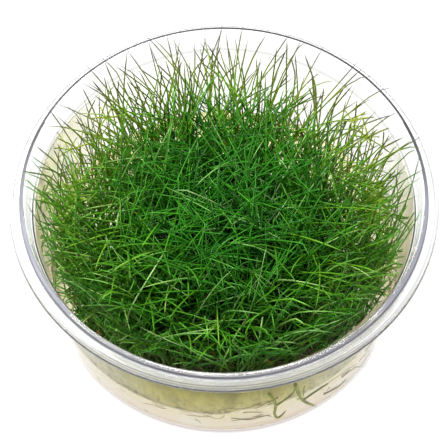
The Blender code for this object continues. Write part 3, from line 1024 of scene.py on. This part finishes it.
def scattered_blades(foot, dice):
    """The many blades of one tuft: long arching ones, and short ones that fill its foot."""
    count = LONG_BLADES + SHORT_BLADES
    short = np.arange(count) >= LONG_BLADES
    roots = scattered_roots(foot, count, dice)
    far_edge = edge_thinning(roots)
    edge = np.clip(math.hypot(foot[0], foot[1]) / (34 * MM), 0, 1)
    outward = math.atan2(foot[1], foot[0])
    leans_out = dice.uniform(0, 1, count) < OUTWARD_SHARE * edge ** 2
    azimuths = np.where(leans_out, outward + dice.normal(0, 1.0, count), dice.uniform(0, math.tau, count))
    upright = dice.uniform(0, 1, count) < UPRIGHT_SHARE
    start = np.where(upright, dice.uniform(*UPRIGHT_FOOT, count), dice.uniform(*ARCHING_FOOT, count))
    end = np.where(upright, dice.uniform(*UPRIGHT_TIP, count),
                   dice.uniform(*ARCHING_TIP, count) - EDGE_STIFFER * edge ** 3)
    lengths = np.where(upright, dice.uniform(*UPRIGHT_LENGTH, count), dice.uniform(*BLADE_LENGTH, count))
    lengths *= 1 - far_edge * dice.choice(FAR_SHORTER, count, p=FAR_SHORTER_ODDS)
    lengths = np.where(short, dice.uniform(*SHORT_LENGTH, count), lengths)
    drift = dice.normal(0, 1, count) * (0.3 + 0.8 * edge ** 3)
    radii = dice.uniform(*BLADE_RADIUS, count)
    own = np.clip(dice.normal(0.46, 0.24, count), 0, 1) * np.where(short, 0.3, 1.0)
    kept = dice.uniform(0, 1, count) > FAR_LOSS * far_edge
    path = grown_paths(roots, azimuths, np.radians(start), np.radians(end), lengths, drift)
    rim = np.clip((np.hypot(roots[:, 0], roots[:, 1]) - 26 * MM) / (8 * MM), 0, 1)
    back = roots[:, 1]
    radii *= 1 - rim * (RIM_THINNER - RIM_THINNER_FAR * np.clip(back / (24 * MM), 0, 1))
    kept &= ~short | (dice.uniform(0, 1, count) > SHORT_LOSS * rim)
    near_side = np.clip(-back / (20 * MM), 0, 1)
    beside = np.clip(np.abs(roots[:, 0]) / (36 * MM), 0, 1) ** 5 * np.clip(1.2 + back / (16 * MM), 0, 1)
    clearance = dice.uniform(*WALL_CLEARANCE, count) * (1 - 0.85 * near_side) + SIDE_CLEARANCE * beside
    turned_back = dice.uniform(0, 1, count) < TURNED_SHARE - TURNED_LESS_NEAR * near_side
    path = set_upright(turned_in(path, clearance, turned_back), clearance)
    return path[kept], radii[kept], own[kept]


def plantlet(middle, count, dice):
    """A young plant on a raised runner: its stalk, and the star of short blades at its node."""
    root = root_under(middle * 0.9)
    bow = (root + middle) * 0.5 + Vector((middle.x, middle.y, 0)).normalized() * MM
    paths = [blade_through([root, bow, middle])]
    for i in range(count):
        turn = math.tau * (i + dice.uniform(-0.3, 0.3)) / count
        reach = dice.uniform(*PLANTLET_REACH)
        rise = dice.uniform(*PLANTLET_RISE)
        out = Vector((math.cos(turn), math.sin(turn), rise)).normalized() * reach
        tip = middle + out - Vector((0, 0, PLANTLET_DROOP))
        paths.append(blade_through([middle, middle + out * 0.5, tip]))
    return paths


def edge_plantlets(dice):
    """The middles and blade counts of young plants at both sides, close to the wall."""
    nodes = []
    for _ in range(EDGE_PLANTLETS):
        turn = dice.triangular(*EDGE_TURNS)
        setback = EDGE_SETBACK * min(1.0, max(0.0, 1 + turn / EDGE_SETBACK_TURN))
        if dice.uniform() < 0.5:
            turn = math.pi - turn
        away = dice.uniform(EDGE_AWAY[0], EDGE_AWAY[1] - setback)
        height = dice.uniform(*EDGE_HEIGHTS)
        middle = Vector((away * math.cos(turn), away * math.sin(turn), height))
        nodes.append((middle, dice.integers(*EDGE_BLADES)))
    return nodes


def foot_places():
    """The middle of each tuft's foot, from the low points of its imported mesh."""
    places = {}
    for name in sorted(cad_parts):
        if name.startswith("tuft_"):
            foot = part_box(name)[0][2]
            corners = [v.co for v in bpy.data.objects[name].data.vertices if v.co.z < foot + 0.5 * MM]
            places[name] = sum(corners, Vector()) / len(corners)
    return places


def nearest_tuft(feet, path):
    """The tuft that a blade grows from."""
    return min(feet, key=lambda name: math.hypot(feet[name].x - path[0][0], feet[name].y - path[0][1]))


def placed_blades(dice):
    """The blades outside the scatter, each as its path, its own green and its range of radii."""
    placed = []
    for pixels in FAR_BLADES:
        placed.append((far_blade(*pixels), dice.uniform(0.3, 0.8), PLACED_RADIUS))
    for pixels in OVER_BLADES:
        placed.append((over_blade(pixels), dice.uniform(0.65, 1.0), PLACED_RADIUS))
    nodes = [(at_height(pixel, height * MM), count) for pixel, height, count in PLANTLETS]
    for middle, count in nodes + edge_plantlets(dice):
        for path in plantlet(middle, count, dice):
            placed.append((path, dice.uniform(0.3, 1.0), PLANTLET_RADIUS))
    for tip, lower in DEAD_BITS:
        path = path_through([at_height(lower, DEAD_HEIGHTS[0]), at_height(tip, DEAD_HEIGHTS[1])])
        placed.append((path, DEAD, PLACED_RADIUS))
    return placed


def add_turf():
    """Every tuft: its scattered blades, and the placed ones that grow nearest to it."""
    feet = foot_places()
    dice = np.random.default_rng(SEED)
    placed = {name: [] for name in feet}
    for blade in placed_blades(dice):
        placed[nearest_tuft(feet, blade[0])].append(blade)
    for name, foot in feet.items():
        path, radii, own = scattered_blades(foot, dice)
        for extra, green, thickness in placed[name]:
            path = np.concatenate([path, extra[None]])
            radii = np.append(radii, dice.uniform(*thickness))
            own = np.append(own, green)
        dead = np.where(own == DEAD, 1.0, 0.0)
        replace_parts(add_blades(name + "_blades", path, radii, own, dead, GRASS), name)


def add_runners():
    """Green runners and thin roots pressed on the inside of the wall."""
    paths, radii = [], []
    for radius, pixels in RUNNERS:
        paths.append(path_through([on_near_wall(pixel, WALL + RUNNER_GAP + radius) for pixel in pixels]))
        radii.append(radius)
    path = np.array(paths)
    every = np.ones(len(path))
    add_blades("wall_runners", path, np.array(radii), every, 0 * every, runner_olive())


def add_roots():
    """Fine tan roots that run in the gel near the wall, most of them about the gel's top."""
    dice = np.random.default_rng(SEED + 1)
    paths = []
    for _ in range(ROOT_COUNT):
        turn = dice.uniform(0, math.tau)
        height = np.clip(dice.normal(GEL_TOP - 0.5 * MM, 3.0 * MM), ROOT_LOWEST, ROOT_HIGHEST)
        swing = dice.normal(0, 1)
        points = []
        for share in np.linspace(0, 1, 6):
            at = turn + ROOT_SWING * swing * share
            level = height + dice.normal(0, ROOT_WAVER) - ROOT_FALL * share * dice.uniform(0, 1)
            level = max(level, ROOT_LOWEST)
            away = wall_radius(level) - WALL - ROOT_INSET
            points.append((away * math.cos(at), away * math.sin(at), level))
        paths.append(path_through(points))
    path = np.array(paths)
    zeros = np.zeros(len(path))
    add_blades("gel_roots", path, dice.uniform(*ROOT_RADIUS, len(path)), zeros, zeros, root_tan())


def add_camera():
    """The photograph's view: a long lens looking down at the cup from the -Y side."""
    data = bpy.data.cameras.new("camera")
    data.sensor_width = SENSOR
    data.lens = SENSOR * FOCAL_PIXELS / PHOTO_PIXELS
    data.clip_start = 0.01
    camera = bpy.data.objects.new("camera", data)
    bpy.context.scene.collection.objects.link(camera)
    camera.location = CAMERA_TARGET + CAMERA_BACK * CAMERA_DISTANCE
    camera.rotation_euler = (math.pi / 2 - CAMERA_ELEVATION, 0.0, 0.0)
    bpy.context.scene.camera = camera


def add_floor():
    """A plain pale table under the cup."""
    corners = [(x * TABLE_HALF, y * TABLE_HALF, -TABLE_DROP) for x, y in ((-1, -1), (1, -1), (1, 1), (-1, 1))]
    add_mesh("table", corners, [(0, 1, 2, 3)], pale_floor())


def add_light():
    """A white dome that greys a little towards the horizon, and a soft box overhead."""
    world = bpy.data.worlds.new("studio")
    world.use_nodes = True
    bpy.context.scene.world = world
    tree = world.node_tree
    sky = tree.nodes["Background"]
    place = add_node(tree, "ShaderNodeTexCoord")
    split = add_node(tree, "ShaderNodeSeparateXYZ")
    tree.links.new(place.outputs["Generated"], split.inputs["Vector"])
    shade = ramp(tree, split.outputs["Z"], [(height, grey(value)) for height, value in SKY_GREYS])
    tree.links.new(shade, sky.inputs["Color"])
    sky.inputs["Strength"].default_value = SKY_STRENGTH
    box = bpy.data.lights.new("soft_box", "AREA")
    box.shape = "RECTANGLE"
    box.size, box.size_y = BOX_SIZE
    box.energy = BOX_POWER
    lamp = bpy.data.objects.new("soft_box", box)
    lamp.location = BOX_PLACE
    lamp.rotation_euler = (BOX_AIM - lamp.location).to_track_quat("-Z", "Y").to_euler()
    bpy.context.scene.collection.objects.link(lamp)


def on_lip_edge(place):
    """Whether a face lies on the painted dark outer edge of the lip: on its top, or just round its corner."""
    inwards = LIP_OUTER - math.hypot(place.x, place.y)
    below = CUP_HEIGHT - place.z
    width = next((width for start, width in LIP_EDGE_WIDTHS if place.y > start), 0.0)
    on_top = 0 < inwards < width and below < 0.1 * MM
    drop = LIP_EDGE_DROP[0] if place.y < 0 else LIP_EDGE_DROP[1]
    return on_top or LIP_EDGE_SIDE[0] < inwards < LIP_EDGE_SIDE[1] and below < drop


def add_cup():
    """The clear cup: its wall, three grades of its rim, and the painted dark edge of its lip."""
    cup = turned("cup_shell", cup_profile(), clear_plastic("clear_plastic_wall", 1.0, WALL_BEND))
    for grade, clearness in RIM_CLEARNESS:
        cup.data.materials.append(clear_plastic("clear_plastic_rim_" + grade, clearness, RIM_BEND))
    cup.data.materials.append(lip_edge())
    for face in cup.data.polygons:
        if on_lip_edge(face.center):
            face.material_index = 1 + len(RIM_CLEARNESS)
        elif face.center.z > RIM_FOOT:
            face.material_index = 1 + sum(face.center.y < start for start in RIM_GRADES)
    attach(cup, "root")
    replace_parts(cup, "cup")


def add_gel():
    """The gel bed, drawn back where runners lie between it and the wall, and its film on the wall."""
    bed = turned("gel_bed", gel_profile(), set_gel(), GEL_TURNS)
    for corner in bed.data.vertices:
        away = math.hypot(corner.co.x, corner.co.y)
        if away > 30 * MM:
            share = min(1.0, max(0.0, corner.co.z / (3 * MM) - 1.0))
            reach = 1 - share * float(runner_room(math.atan2(corner.co.y, corner.co.x))) / away
            corner.co.x *= reach
            corner.co.y *= reach
    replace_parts(bed, "nutrient_gel")
    film = add_mesh("gel_film", *film_skin(), gel_film())
    for piece in (bed, film):
        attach(piece, "root")


MOTTLE = mottle_group()
RIPPLES = ripple_group()
ROUND_PLACE = round_place_group()
GRASS = blade_green()
add_camera()
add_floor()
add_light()
add_cup()
add_gel()
add_turf()
add_runners()
add_roots()
bpy.context.scene.view_settings.view_transform = "Standard"
